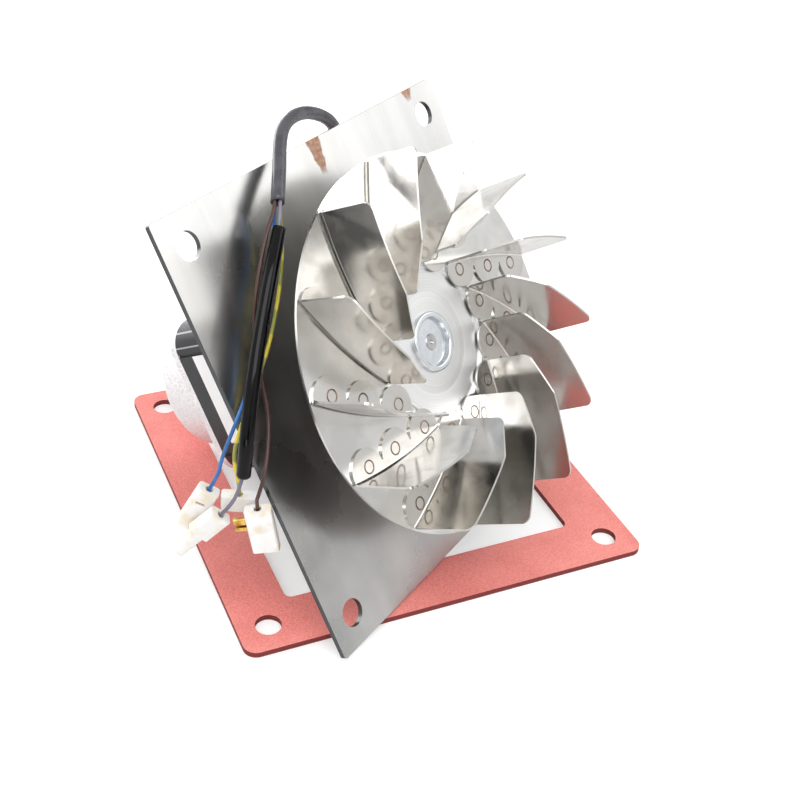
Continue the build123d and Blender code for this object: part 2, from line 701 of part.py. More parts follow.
# Straight covers: an open end away from the wire, the grey one stepped down to a narrow nose
for colour, width, length, nose_width, nose_length, window in (
    ("blue", 9.7, 23.5, 0, 0, 4.4),
    ("grey", 10.4, 15.0, 5.8, 14.0, 0),
):
    cover_plane = cover_planes[colour]
    end = length + nose_length
    with BuildPart() as cover:
        with BuildSketch(cover_plane):
            RectangleRounded(width, cover_thickness, cover_corner_radius)
        extrude(amount=length)
        if nose_length:
            with BuildSketch(cover_plane.offset(length)):
                RectangleRounded(nose_width, cover_thickness, cover_corner_radius)
            extrude(amount=nose_length)
        with BuildSketch(cover_plane.offset(cover_wall)):
            Rectangle((nose_width or width) - 2 * cover_wall, terminal_height)
        extrude(amount=end, mode=Mode.SUBTRACT)
        with BuildSketch(cover_plane.offset(cover_wall)):
            Rectangle(width - 2 * cover_wall, terminal_height)
        extrude(amount=length - (2 if nose_length else 1) * cover_wall, mode=Mode.SUBTRACT)
        with BuildSketch(cover_plane):
            Circle(cover_hole_diameter / 2)
        extrude(amount=cover_wall * 2, mode=Mode.SUBTRACT)
        if window:
            front = Plane(origin=cover_plane.origin, x_dir=cover_plane.x_dir, z_dir=cover_plane.y_dir)
            with BuildSketch(front):
                with Locations((-0.5, -window_depth)):
                    RectangleRounded(window, window_height, window_height * 0.3)
            extrude(amount=cover_thickness, mode=Mode.SUBTRACT)
    cover.part.label = f"connector_{colour}"
    export_step(cover.part, f"parts/connector_{colour}.step")

    with BuildPart() as terminal:
        with BuildSketch(cover_plane.offset(wire_seat)):
            Circle(barrel_diameter / 2)
        extrude(amount=barrel_length)
        with BuildSketch(cover_plane.offset(wire_seat + barrel_length - 1.0)):
            Rectangle(barrel_diameter, terminal_height)
        extrude(amount=2.0)
        with BuildSketch(cover_plane.offset(wire_seat + barrel_length + 1.0)):
            if nose_length:
                Rectangle(nose_width - 2 * cover_wall - 0.4, terminal_sheet)
            else:
                RectangleRounded(terminal_width, terminal_height, terminal_height * 0.45)
                RectangleRounded(
                    terminal_width - 2 * terminal_sheet,
                    terminal_height - 2 * terminal_sheet,
                    (terminal_height - 2 * terminal_sheet) * 0.45,
                    mode=Mode.SUBTRACT,
                )
                with Locations((0, terminal_height / 2)):
                    Rectangle(terminal_slit, 2 * terminal_sheet + 0.2, mode=Mode.SUBTRACT)
        extrude(amount=end - wire_seat - barrel_length - 3.0 if nose_length else receptacle_length)
    terminal.part.label = f"terminal_{colour}"
    export_step(terminal.part, f"parts/terminal_{colour}.step")

# Flag covers: the terminal points sideways out of an open flank
for colour, width, length, flag_width, flag_depth, seat, reach in (
    ("green", 15.6, 7.6, 4.2, 3.9, 0.4, 7.4),
    ("brown", 12.0, 23.0, 7.6, 7.9, wire_seat, 11.5),
):
    cover_plane = cover_planes[colour]
    with BuildPart() as cover:
        with BuildSketch(cover_plane):
            RectangleRounded(width, cover_thickness, cover_corner_radius)
        extrude(amount=length)
        with BuildSketch(cover_plane.offset(cover_wall)):
            with Locations((-cover_wall, 0)):
                Rectangle(width, terminal_height)
        extrude(amount=length - 2 * cover_wall, mode=Mode.SUBTRACT)
        with BuildSketch(cover_plane):
            Circle(cover_hole_diameter / 2)
        extrude(amount=cover_wall * 2, mode=Mode.SUBTRACT)
    cover.part.label = f"connector_{colour}"
    export_step(cover.part, f"parts/connector_{colour}.step")

    flag_plane = Plane(
        origin=cover_plane.offset(flag_depth).origin,
        x_dir=cover_plane.z_dir,
        z_dir=-cover_plane.x_dir,
    )
    with BuildPart() as terminal:
        with BuildSketch(cover_plane.offset(seat)):
            Circle(barrel_diameter / 2)
        extrude(amount=flag_depth - flag_width / 2 + 0.5 - seat)
        with BuildSketch(flag_plane.offset(-barrel_diameter / 2)):
            Rectangle(flag_width, terminal_height)
        extrude(amount=barrel_diameter)
        with BuildSketch(flag_plane.offset(barrel_diameter / 2)):
            RectangleRounded(flag_width, terminal_height, terminal_height * 0.45)
            RectangleRounded(
                flag_width - 2 * terminal_sheet,
                terminal_height - 2 * terminal_sheet,
                (terminal_height - 2 * terminal_sheet) * 0.45,
                mode=Mode.SUBTRACT,
            )
            with Locations((0, terminal_height / 2)):
                Rectangle(terminal_slit, 2 * terminal_sheet + 0.2, mode=Mode.SUBTRACT)
        extrude(amount=reach - barrel_diameter / 2)
    terminal.part.label = f"terminal_{colour}"
    export_step(terminal.part, f"parts/terminal_{colour}.step")

# Sleeve: a glossy tube round the grey wire, hanging over the plate's left edge
sleeve_points = [
    (-51.0, 79.7, 13.0),
    (-58.8, 72.9, 14.0),
    (-68.7, 64.1, 14.5),
    (-78.7, 53.8, 14.0),
    (-88.8, 42.3, 12.9),
    (-97.3, 30.4, 11.0),
    (-104.4, 18.8, 8.4),
    (-110.4, 8.6, 6.3),
    (-111.4, 0.9, 1.7),
    (-111.6, -5.6, -2.8),
]
cord("cable_sleeve", sleeve_points, sleeve_diameter, sleeve_bore)


def wire_end(colour, seat, approach):
    """The last two points of a wire: before its cover and on its terminal."""
    entry, down, across = cover_places[colour]
    return [ahead(entry, down, -approach), ahead(entry, down, seat)]


# Wires: they leave the sheath side by side, pass behind the sleeve and end on the terminals
sheath_out = (Vector(*sheath_end) - Vector(*sheath_points[-2])).normalized()
sheath_side = sheath_out.cross(Vector(0, 0, 1)).normalized()
sheath_rise = sheath_side.cross(sheath_out)
blue_start = ahead(sheath_end, sheath_rise, -wire_spread)
grey_start = ahead(sheath_end, sheath_rise, wire_spread)
brown_start = ahead(sheath_end, sheath_side, wire_spread)
green_start = ahead(sheath_end, sheath_side, -wire_spread)
blue_points = [
    blue_start,
    ahead(blue_start, sheath_out, 4.0),
    (-50.0, 79.5, 8.2),
    (-53.5, 71.4, 8.0),
    (-62.9, 62.4, 8.0),
    (-73.3, 52.1, 8.0),
    (-83.5, 41.0, 7.0),
    (-92.0, 30.5, 5.5),
    (-100.0, 23.5, 4.0),
    (-107.6, 17.6, 2.9),
    (-109.6, 8.6, -6.4),
    (-111.0, 1.0, -14.0),
] + wire_end("blue", wire_seat, 9.0)
green_points = [
    green_start,
    ahead(green_start, sheath_out, 4.5),
    (-47.8, 74.5, 9.6),
    (-58.0, 59.5, 9.0),
    (-71.3, 45.2, 8.5),
    (-81.5, 35.1, 7.2),
    (-95.6, 23.5, 4.4),
    (-107.6, 13.6, 2.8),
    (-109.0, 5.8, -4.2),
    (-108.4, -2.6, -9.9),
] + wire_end("green", 0.4, 5.5)
brown_points = [
    brown_start,
    ahead(brown_start, sheath_out, 5.0),
    (-59.5, 78.9, 11.5),
    (-73.2, 61.2, 8.2),
    (-79.8, 46.4, 4.2),
    (-84.4, 32.4, 3.4),
    (-88.0, 19.3, 3.4),
    (-91.6, 9.6, 3.5),
    (-99.8, -2.0, 3.5),
    (-107.8, -10.4, 3.3),
    (-109.3, -16.6, -2.0),
] + wire_end("brown", wire_seat, 3.5)
grey_points = [
    grey_start,
    ahead(grey_start, sheath_out, 4.0),
] + sleeve_points + wire_end("grey", wire_seat, 8.0)
cord("wire_blue", blue_points, wire_diameter)
cord("wire_green", green_points, wire_diameter)
cord("wire_brown", brown_points, wire_diameter)
cord("wire_grey", grey_points, wire_diameter)
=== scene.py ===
import math

import bpy
from mathutils import Matrix, Vector


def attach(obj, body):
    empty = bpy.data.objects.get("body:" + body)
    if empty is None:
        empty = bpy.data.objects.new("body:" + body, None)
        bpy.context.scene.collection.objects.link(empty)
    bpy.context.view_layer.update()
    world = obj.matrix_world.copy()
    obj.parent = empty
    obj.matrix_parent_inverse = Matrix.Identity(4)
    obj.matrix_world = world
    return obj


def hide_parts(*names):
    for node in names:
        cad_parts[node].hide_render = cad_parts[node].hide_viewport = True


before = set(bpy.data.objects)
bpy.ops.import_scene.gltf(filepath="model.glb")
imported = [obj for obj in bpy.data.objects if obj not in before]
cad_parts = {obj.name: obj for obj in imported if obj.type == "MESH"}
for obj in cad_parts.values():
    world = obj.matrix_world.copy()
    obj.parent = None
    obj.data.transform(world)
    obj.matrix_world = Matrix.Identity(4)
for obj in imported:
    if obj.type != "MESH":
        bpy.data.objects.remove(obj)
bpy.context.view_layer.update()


# Viewpoint and frame of the fan
# The camera stands a little above the fan, left of its front. Places on the fan itself are given
# in millimetres to the right along its plate, up the plate, and out of its front face.
def camera_matrix(place, forward, right):
    forward = Vector(forward).normalized()
    right = Vector(right).normalized()
    upward = right.cross(forward).normalized()
    right = forward.cross(upward)
    turn = Matrix((right, upward, -forward)).transposed().to_4x4()
    return Matrix.Translation(place) @ turn


camera_data = bpy.data.cameras.new("view")
camera_data.lens = 56.86
camera_data.sensor_width = 36.0
camera_data.clip_start = 0.01
camera_data.clip_end = 20.0
camera = bpy.data.objects.new("view", camera_data)
bpy.context.collection.objects.link(camera)
camera.matrix_world = camera_matrix(
    place=(-0.2244, -0.4808, 0.4285), forward=(0.3599, 0.7296, -0.5816), right=(0.9141, -0.4006, 0.0630)
)
bpy.context.scene.camera = camera
bpy.context.scene.view_settings.view_transform = "Standard"

fan_turn = math.radians(33.0)
fan_lean = math.radians(30.0)
fan_centre = Vector((-0.0055, -0.0222, 0.09518267))
fan_right = Vector((math.cos(fan_turn), math.sin(fan_turn), 0.0))
fan_front = Vector(
    (
        math.sin(fan_turn) * math.cos(fan_lean),
        -math.cos(fan_turn) * math.cos(fan_lean),
        math.sin(fan_lean),
    )
)
fan_up = fan_front.cross(fan_right)
fan_axes = Matrix((fan_right, fan_up, fan_front)).transposed()


def on_fan(point):
    return fan_centre + fan_axes @ (Vector(point) / 1000.0)


# Studio
# A white table and surround, a broad soft lamp overhead on the left, and weaker ones to the right,
# the left and behind. Darker parts of the room show only as soft grey bands in the bare metal.
def add(tree, kind, values=None, **settings):
    made = tree.nodes.new(kind)
    for key, value in settings.items():
        setattr(made, key, value)
    for key, value in (values or {}).items():
        if isinstance(value, bpy.types.NodeSocket):
            tree.links.new(value, made.inputs[key])
        else:
            made.inputs[key].default_value = value
    return made


world = bpy.data.worlds.new("studio")
world.use_nodes = True
bpy.context.scene.world = world
air = world.node_tree
air.nodes.clear()
direction = add(air, "ShaderNodeTexCoord").outputs["Generated"]
direction_parts = add(air, "ShaderNodeSeparateXYZ", {0: direction})


def dark_card(azimuth, elevation, reach, fade):
    azimuth, elevation = math.radians(azimuth), math.radians(elevation)
    middle = (
        math.cos(elevation) * math.cos(azimuth),
        math.cos(elevation) * math.sin(azimuth),
        math.sin(elevation),
    )
    facing = add(air, "ShaderNodeVectorMath", {0: direction, 1: middle}, operation="DOT_PRODUCT")
    inner, outer = math.cos(math.radians(reach)), math.cos(math.radians(reach + fade))
    covered = add(
        air,
        "ShaderNodeMapRange",
        {0: facing.outputs["Value"], 1: outer, 2: inner},
        interpolation_type="SMOOTHSTEP",
    )
    return covered.outputs[0]


low_level, high_level, diffuse_level = 0.85, 1.0, 0.68
room = add(
    air, "ShaderNodeMapRange", {0: direction_parts.outputs["Z"], 1: -0.1, 2: 0.7, 3: low_level, 4: high_level}
).outputs[0]
for azimuth, elevation, reach, fade, depth in (
    (-31.0, 2.0, 4.0, 11.0, 0.7),
    (-94.0, 19.0, 7.0, 10.0, 0.92),
    (-140.0, 0.0, 8.0, 14.0, 0.6),
    (48.0, 4.0, 10.0, 18.0, 0.6),
):
    card = dark_card(azimuth, elevation, reach, fade)
    shade = add(air, "ShaderNodeMath", {0: card, 1: -depth, 2: 1.0}, operation="MULTIPLY_ADD").outputs[0]
    room = add(air, "ShaderNodeMath", {0: room, 1: shade}, operation="MULTIPLY").outputs[0]
rays = add(air, "ShaderNodeLightPath").outputs
soft_room = add(air, "ShaderNodeMath", {0: room, 1: diffuse_level}, operation="MULTIPLY").outputs[0]
mirrored = add(air, "ShaderNodeMix", {0: rays["Is Glossy Ray"], 2: soft_room, 3: room}, data_type="FLOAT")
seen = add(
    air, "ShaderNodeMix", {0: rays["Is Camera Ray"], 2: mirrored.outputs[0], 3: 1.0}, data_type="FLOAT"
).outputs[0]
glow = add(air, "ShaderNodeBackground", {"Color": (1.0, 1.0, 1.0, 1.0), "Strength": seen})
add(air, "ShaderNodeOutputWorld", {"Surface": glow.outputs[0]})


def lamp(name, place, aim, width, height, power):
    data = bpy.data.lights.new(name, "AREA")
    data.shape = "RECTANGLE"
    data.size = width
    data.size_y = height
    data.energy = power
    made = bpy.data.objects.new(name, data)
    bpy.context.collection.objects.link(made)
    away = Vector(place) - Vector(aim)
    made.matrix_world = Matrix.Translation(place) @ away.to_track_quat("Z", "Y").to_matrix().to_4x4()


lamp("broad_lamp", (-0.3, -0.8, 1.45), aim=(0.0, 0.0, 0.08), width=1.3, height=1.1, power=15.0)
lamp("side_lamp", (1.4, -0.35, 1.0), aim=(0.0, 0.0, 0.1), width=1.3, height=1.3, power=8.0)
lamp("left_lamp", (-0.75, -1.6, 0.27), aim=(0.0, 0.0, 0.15), width=0.5, height=0.4, power=1.6)
lamp("back_lamp", (-0.6, 1.5, 0.36), aim=(0.0, 0.0, 0.1), width=2.2, height=0.7, power=25.0)

table_half = 1.3
table_corners = [
    (-table_half, -table_half, 0), (table_half, -table_half, 0),
    (table_half, table_half, 0), (-table_half, table_half, 0),
]
floor_mesh = bpy.data.meshes.new("table_top")
floor_mesh.from_pydata(table_corners, [], [(0, 1, 2, 3)])
table_top = bpy.data.objects.new("table_top", floor_mesh)
bpy.context.collection.objects.link(table_top)
table_white = bpy.data.materials.new("table_white")
table_white.use_nodes = True
top = table_white.node_tree
top_seen = add(top, "ShaderNodeLightPath").outputs["Is Camera Ray"]
top_shader = top.nodes["Principled BSDF"]
top_shader.inputs["Base Color"].default_value = (0.86, 0.86, 0.86, 1.0)
top_shader.inputs["Roughness"].default_value = 0.7
top_shader.inputs["Specular IOR Level"].default_value = 0.1
top_shader.inputs["Emission Color"].default_value = (1.0, 1.0, 1.0, 1.0)
table_place = add(top, "ShaderNodeTexCoord").outputs["Object"]
far_off = add(top, "ShaderNodeVectorMath", {0: table_place}, operation="LENGTH").outputs["Value"]
near_edge, far_edge, near_fill, far_fill = 0.12, 0.4, 0.22, 0.5
fill = add(
    top,
    "ShaderNodeMapRange",
    {0: far_off, 1: near_edge, 2: far_edge, 3: near_fill, 4: far_fill},
    interpolation_type="SMOOTHSTEP",
)
lift = add(top, "ShaderNodeMath", {0: top_seen, 1: fill.outputs[0]}, operation="MULTIPLY")
top.links.new(lift.outputs[0], top_shader.inputs["Emission Strength"])
table_top.data.materials.append(table_white)


# Surface patterns that several materials share
# The pattern space turns object coordinates into millimetres along the fan's own three axes,
# so that brushing, rust and core sheets follow the part. Cloud and grain vary tone and height.
def node_group(name, inputs, outputs):
    tree = bpy.data.node_groups.new(name, "ShaderNodeTree")
    for label, kind, value in inputs:
        socket = tree.interface.new_socket(name=label, in_out="INPUT", socket_type=kind)
        if value is not None:
            socket.default_value = value
    for label, kind in outputs:
        tree.interface.new_socket(name=label, in_out="OUTPUT", socket_type=kind)
    start = tree.nodes.new("NodeGroupInput").outputs
    end = tree.nodes.new("NodeGroupOutput").inputs
    return tree, start, end


fan_space, _, fan_space_end = node_group("fan_space", [], [("Place", "NodeSocketVector")])
object_place = add(fan_space, "ShaderNodeTexCoord").outputs["Object"]
from_centre = add(
    fan_space, "ShaderNodeVectorMath", {0: object_place, 1: fan_centre}, operation="SUBTRACT"
).outputs[0]
fan_place = add(fan_space, "ShaderNodeCombineXYZ")
for number, axis in enumerate((fan_right, fan_up, fan_front)):
    along = add(fan_space, "ShaderNodeVectorMath", {0: from_centre, 1: axis * 1000.0}, operation="DOT_PRODUCT")
    fan_space.links.new(along.outputs["Value"], fan_place.inputs[number])
fan_space.links.new(fan_place.outputs[0], fan_space_end["Place"])

cloud, cloud_in, cloud_out = node_group(
    "cloud",
    [
        ("Place", "NodeSocketVector", None),
        ("Size", "NodeSocketFloat", 0.02),
        ("Stretch", "NodeSocketVector", (1.0, 1.0, 1.0)),
        ("Low", "NodeSocketFloat", 0.35),
        ("High", "NodeSocketFloat", 0.65),
    ],
    [("Amount", "NodeSocketFloat")],
)
cloud_stretch = add(
    cloud, "ShaderNodeVectorMath", {0: cloud_in["Place"], 1: cloud_in["Stretch"]}, operation="MULTIPLY"
).outputs[0]
cloud_noise = add(
    cloud, "ShaderNodeTexNoise", {"Vector": cloud_stretch, "Scale": cloud_in["Size"], "Detail": 5.0}
)
cloud_level = add(
    cloud,
    "ShaderNodeMapRange",
    {0: cloud_noise.outputs["Fac"], 1: cloud_in["Low"], 2: cloud_in["High"]},
    interpolation_type="SMOOTHSTEP",
)
cloud.links.new(cloud_level.outputs[0], cloud_out["Amount"])

grain, grain_in, grain_out = node_group(
    "grain",
    [
        ("Place", "NodeSocketVector", None),
        ("Size", "NodeSocketFloat", 1.0),
        ("Stretch", "NodeSocketVector", (1.0, 1.0, 1.0)),
        ("Height", "NodeSocketFloat", 0.1),
    ],
    [("Normal", "NodeSocketVector")],
)
grain_stretch = add(
    grain, "ShaderNodeVectorMath", {0: grain_in["Place"], 1: grain_in["Stretch"]}, operation="MULTIPLY"
).outputs[0]
grain_noise = add(
    grain, "ShaderNodeTexNoise", {"Vector": grain_stretch, "Scale": grain_in["Size"], "Detail": 3.0}
)
metres_per_mm = 0.001
grain_depth = add(grain, "ShaderNodeMath", {0: grain_in["Height"], 1: metres_per_mm}, operation="MULTIPLY")
grain_bump = add(
    grain,
    "ShaderNodeBump",
    {"Strength": 1.0, "Distance": grain_depth.outputs[0], "Height": grain_noise.outputs["Fac"]},
)
grain.links.new(grain_bump.outputs[0], grain_out["Normal"])


def use_group(tree, group, values=None):
    made = tree.nodes.new("ShaderNodeGroup")
    made.node_tree = group
    for key, value in (values or {}).items():
        if isinstance(value, bpy.types.NodeSocket):
            tree.links.new(value, made.inputs[key])
        else:
            made.inputs[key].default_value = value
    return made.outputs[0]


def new_material(name, colour, roughness, metallic=0.0, **more):
    made = bpy.data.materials.new(name)
    made.use_nodes = True
    shader = made.node_tree.nodes["Principled BSDF"]
    shader.inputs["Base Color"].default_value = (*colour, 1.0)
    shader.inputs["Roughness"].default_value = roughness
    shader.inputs["Metallic"].default_value = metallic
    for label, value in more.items():
        shader.inputs[label.replace("_", " ")].default_value = value
    return made, made.node_tree, shader


def blended(tree, amount, low, high):
    first = (*low, 1.0) if isinstance(low, tuple) else low
    second = (*high, 1.0) if isinstance(high, tuple) else high
    return add(tree, "ShaderNodeMix", {0: amount, 6: first, 7: second}, data_type="RGBA").outputs[2]


def between(tree, amount, low, high):
    return add(tree, "ShaderNodeMapRange", {0: amount, 3: low, 4: high}).outputs[0]


def dress(names, material):
    for name in names:
        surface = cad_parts[name].data
        surface.materials.clear()
        surface.materials.append(material)


# Cable sheath
# Round grey-black outer sheath of soft plastic, about 6 mm thick. It leaves the gland on the
# motor, rises behind the plate, bends over its top edge and stops where the inner wires come out.
def soft_plastic(name, colour, roughness, grain_size=0.9, grain_height=0.04, dust=0.015, **more):
    made, tree, shader = new_material(name, colour, roughness, **more)
    place = use_group(tree, fan_space)
    worn = use_group(tree, cloud, {"Place": place, "Size": 0.12, "Low": 0.35, "High": 0.75})
    pale = tuple(min(1.0, c * 1.5 + dust) for c in colour)
    tree.links.new(blended(tree, worn, colour, pale), shader.inputs["Base Color"])
    tree.links.new(between(tree, worn, roughness, min(1.0, roughness + 0.12)), shader.inputs["Roughness"])
    skin = use_group(tree, grain, {"Place": place, "Size": grain_size, "Height": grain_height})
    tree.links.new(skin, shader.inputs["Normal"])
    return made


def route(name, points, diameter, capped=True):
    line = bpy.data.curves.new(name, "CURVE")
    line.dimensions = "3D"
    spline = line.splines.new("NURBS")
    spline.points.add(len(points) - 1)
    for control, point in zip(spline.points, points):
        control.co = (*on_fan(point), 1.0)
    spline.order_u = 3
    spline.use_endpoint_u = True
    spline.resolution_u = 14
    line.bevel_depth = diameter / 2000.0
    line.bevel_resolution = 7
    line.use_fill_caps = capped
    made = bpy.data.objects.new(name, line)
    bpy.context.collection.objects.link(made)
    return made


def plain_mesh(source, name):
    depsgraph = bpy.context.evaluated_depsgraph_get()
    mesh = bpy.data.meshes.new_from_object(source.evaluated_get(depsgraph))
    made = bpy.data.objects.new(name, mesh)
    bpy.context.collection.objects.link(made)
    return made


def centre_line(name, points):
    bare = route(name, points, 0.0, capped=False)
    bare.data.bevel_depth = 0.0
    depsgraph = bpy.context.evaluated_depsgraph_get()
    mesh = bpy.data.meshes.new_from_object(bare.evaluated_get(depsgraph))
    places = [tuple(vertex.co) for vertex in mesh.vertices]
    bpy.data.objects.remove(bare)
    return places


def hollow_tube(name, points, diameter, wall):
    rod = route(name + "_rod", points, diameter, capped=False)
    tube = plain_mesh(rod, name)
    bpy.data.objects.remove(rod)
    skin = tube.modifiers.new("wall", "SOLIDIFY")
    skin.thickness = wall / 1000.0
    skin.offset = -1.0
    walled = plain_mesh(tube, name + "_walled")
    bpy.data.objects.remove(tube)
    walled.name = name
    for face in walled.data.polygons:
        face.use_smooth = True
    return walled


sheath_points = [
    (19.7, 42.1, -45.0), (23.0, 49.4, -45.0), (32.0, 66.0, -41.0), (41.0, 82.0, -31.5),
    (44.0, 96.0, -19.5), (37.5, 105.5, -13.5), (27.0, 112.0, -9.5), (12.0, 117.0, -5.0),
    (-3.5, 118.0, -0.5), (-15.0, 115.5, 3.0), (-24.0, 108.5, 5.5), (-31.5, 101.0, 8.0),
    (-44.0, 89.5, 11.5),
]
sheath_black = soft_plastic(
    "sheath_plastic", (0.05, 0.049, 0.058), roughness=0.26, grain_size=0.5, grain_height=0.03
)
sheath = hollow_tube("sheath", sheath_points, diameter=6.2, wall=0.8)
sheath.data.materials.append(sheath_black)
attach(sheath, "frame")
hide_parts("cable_sheath")
centre_line("sheath_line", sheath_points)


# Black sleeve
# Thin glossy tube that is pushed over the grey wire. It hangs from the sheath's end down past the
# plate's left edge.
sleeve_points = [
    (-51.0, 79.7, 13.0), (-58.8, 72.9, 14.0), (-68.7, 64.1, 14.5), (-78.7, 53.8, 14.0),
    (-88.8, 42.3, 12.9), (-97.3, 30.4, 11.0), (-104.4, 18.8, 8.4), (-110.4, 8.6, 6.3),
    (-111.4, 0.9, 1.7), (-111.6, -5.6, -2.8),
]
sleeve_black = soft_plastic(
    "sleeve_plastic",
    (0.001, 0.001, 0.0015),
    roughness=0.07,
    grain_size=0.25,
    grain_height=0.003,
    dust=0.0,
    Specular_IOR_Level=0.2,
)
sleeve = hollow_tube("sleeve", sleeve_points, diameter=6.4, wall=0.7)
sleeve.data.materials.append(sleeve_black)
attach(sleeve, "frame")
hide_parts("cable_sleeve")
centre_line("sleeve_line", sleeve_points)


# Inner wires
# Four stranded wires in coloured insulation: blue, brown, yellow and green, and grey. They leave
# the sheath side by side, pass behind the sleeve and end on push-on terminals.
def striped_plastic(name, first, second, roughness):
    made, tree, shader = new_material(name, first, roughness)
    place = use_group(tree, fan_space)
    waves = add(
        tree,
        "ShaderNodeTexWave",
        {"Vector": place, "Scale": 0.02, "Distortion": 1.5, "Detail": 1.0, "Detail Scale": 0.4},
        bands_direction="DIAGONAL",
    )
    bands = add(tree, "ShaderNodeMapRange", {0: waves.outputs["Fac"], 1: 0.42, 2: 0.58})
    tree.links.new(blended(tree, bands.outputs[0], first, second), shader.inputs["Base Color"])
    skin = use_group(tree, grain, {"Place": place, "Size": 0.9, "Height": 0.02})
    tree.links.new(skin, shader.inputs["Normal"])
    return made


wire_routes = {
    "blue": [
        (-44.2, 89.3, 9.9), (-47.1, 86.6, 10.7), (-50.0, 79.5, 8.2), (-53.5, 71.4, 8.0),
        (-62.9, 62.4, 8.0), (-73.3, 52.1, 8.0), (-83.5, 41.0, 7.0), (-92.0, 30.5, 5.5),
        (-100.0, 23.5, 4.0), (-107.6, 17.6, 2.9), (-109.6, 8.6, -6.4), (-111.0, 1.0, -14.0),
        (-111.1, -5.0, -18.9), (-114.2, -11.9, -28.2),
    ],
    "green": [
        (-42.9, 88.3, 11.5), (-46.2, 85.3, 12.4), (-47.8, 74.5, 9.6), (-58.0, 59.5, 9.0),
        (-71.3, 45.2, 8.5), (-81.5, 35.1, 7.2), (-95.6, 23.5, 4.4), (-107.6, 13.6, 2.8),
        (-109.0, 5.8, -4.2), (-108.4, -2.6, -9.9), (-106.0, -12.8, -15.1), (-106.1, -17.8, -18.1),
    ],
    "brown": [
        (-45.1, 90.7, 11.5), (-48.7, 87.4, 12.5), (-59.5, 78.9, 11.5), (-73.2, 61.2, 8.2),
        (-79.8, 46.4, 4.2), (-84.4, 32.4, 3.4), (-88.0, 19.3, 3.4), (-91.6, 9.6, 3.5),
        (-99.8, -2.0, 3.5), (-107.8, -10.4, 3.3), (-109.3, -16.6, -2.0), (-108.7, -20.7, -6.5),
        (-108.1, -26.7, -8.9),
    ],
    "grey": [
        (-43.8, 89.7, 13.1), (-46.6, 87.1, 13.9), *sleeve_points,
        (-113.2, -18.8, -15.6), (-117.3, -22.7, -25.1),
    ],
}
wire_finishes = {
    "blue": soft_plastic("blue_insulation", (0.02, 0.12, 0.36), roughness=0.32, grain_height=0.02),
    "green": striped_plastic("green_insulation", (0.80, 0.66, 0.05), (0.34, 0.36, 0.05), roughness=0.3),
    "brown": soft_plastic("brown_insulation", (0.055, 0.018, 0.012), roughness=0.32, grain_height=0.02),
    "grey": soft_plastic("grey_insulation", (0.16, 0.15, 0.20), roughness=0.34, grain_height=0.02),
}
for colour, points in wire_routes.items():
    wire = route(f"wire_{colour}_line", points, diameter=1.7)
    wire.data.materials.append(wire_finishes[colour])
    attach(wire, "frame")
    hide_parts(f"wire_{colour}")


# Connector covers and terminals
# Boots of natural nylon, milky and slightly yellowed, over tinned or plain brass push-on
# terminals that are crimped on the wires.
nylon, nylon_tree, nylon_shader = new_material("cover_nylon", (0.86, 0.83, 0.76), roughness=0.38)
nylon_shader.inputs["Subsurface Weight"].default_value = 0.35
nylon_shader.inputs["Subsurface Radius"].default_value = (0.004, 0.0035, 0.003)
nylon_shader.inputs["Subsurface Scale"].default_value = 0.6
nylon_place = use_group(nylon_tree, fan_space)
yellowing = use_group(nylon_tree, cloud, {"Place": nylon_place, "Size": 0.11, "Low": 0.45, "High": 0.7})
nylon_tree.links.new(
    blended(nylon_tree, yellowing, (0.92, 0.90, 0.88), (0.82, 0.72, 0.56)), nylon_shader.inputs["Base Color"]
)
nylon_skin = use_group(nylon_tree, grain, {"Place": nylon_place, "Size": 0.5, "Height": 0.08})
nylon_tree.links.new(nylon_skin, nylon_shader.inputs["Normal"])

brass, brass_tree, brass_shader = new_material(
    "terminal_brass", (0.80, 0.50, 0.14), roughness=0.25, metallic=1.0
)
brass_place = use_group(brass_tree, fan_space)
tarnish = use_group(brass_tree, cloud, {"Place": brass_place, "Size": 0.25, "Low": 0.4, "High": 0.7})
brass_tree.links.new(
    blended(brass_tree, tarnish, (0.83, 0.53, 0.15), (0.45, 0.24, 0.07)), brass_shader.inputs["Base Color"]
)
brass_tree.links.new(between(brass_tree, tarnish, 0.2, 0.42), brass_shader.inputs["Roughness"])
dress([f"connector_{colour}" for colour in wire_routes], nylon)
dress([f"terminal_{colour}" for colour in wire_routes], brass)


# Gasket
# Sheet of compressed red fibre and rubber, 3 mm thick, stamped in one piece. Its faces are dull and finely
# speckled; its cut edges, which face sideways, are painted dark red as shade.
red_sheet, red_tree, red_shader = new_material("gasket_sheet", (0.55, 0.10, 0.09), roughness=0.8)
red_place = use_group(red_tree, fan_space)
speckle = use_group(red_tree, cloud, {"Place": red_place, "Size": 1.3, "Low": 0.35, "High": 0.68})
wide = use_group(red_tree, cloud, {"Place": red_place, "Size": 0.018, "Low": 0.35, "High": 0.7})
red_face = blended(
    red_tree,
    speckle,
    blended(red_tree, wide, (0.80, 0.25, 0.22), (0.92, 0.33, 0.29)),
    blended(red_tree, wide, (0.66, 0.17, 0.15), (0.80, 0.25, 0.22)),
)
red_normal = add(red_tree, "ShaderNodeNewGeometry").outputs["Normal"]
red_flat = add(red_tree, "ShaderNodeSeparateXYZ", {0: red_normal}).outputs["Z"]
# Painted shade: faces that turn away from straight up, the gasket's cut edges, are coloured dark red.
gasket_side_shade = add(red_tree, "ShaderNodeMapRange", {0: red_flat, 1: 0.9, 2: 0.4})
red_tree.links.new(
    blended(red_tree, gasket_side_shade.outputs[0], red_face, (0.20, 0.028, 0.026)), red_shader.inputs["Base Color"]
)
red_skin = use_group(red_tree, grain, {"Place": red_place, "Size": 1.1, "Height": 0.12})
red_tree.links.new(red_skin, red_shader.inputs["Normal"])
dress(["gasket"], red_sheet)
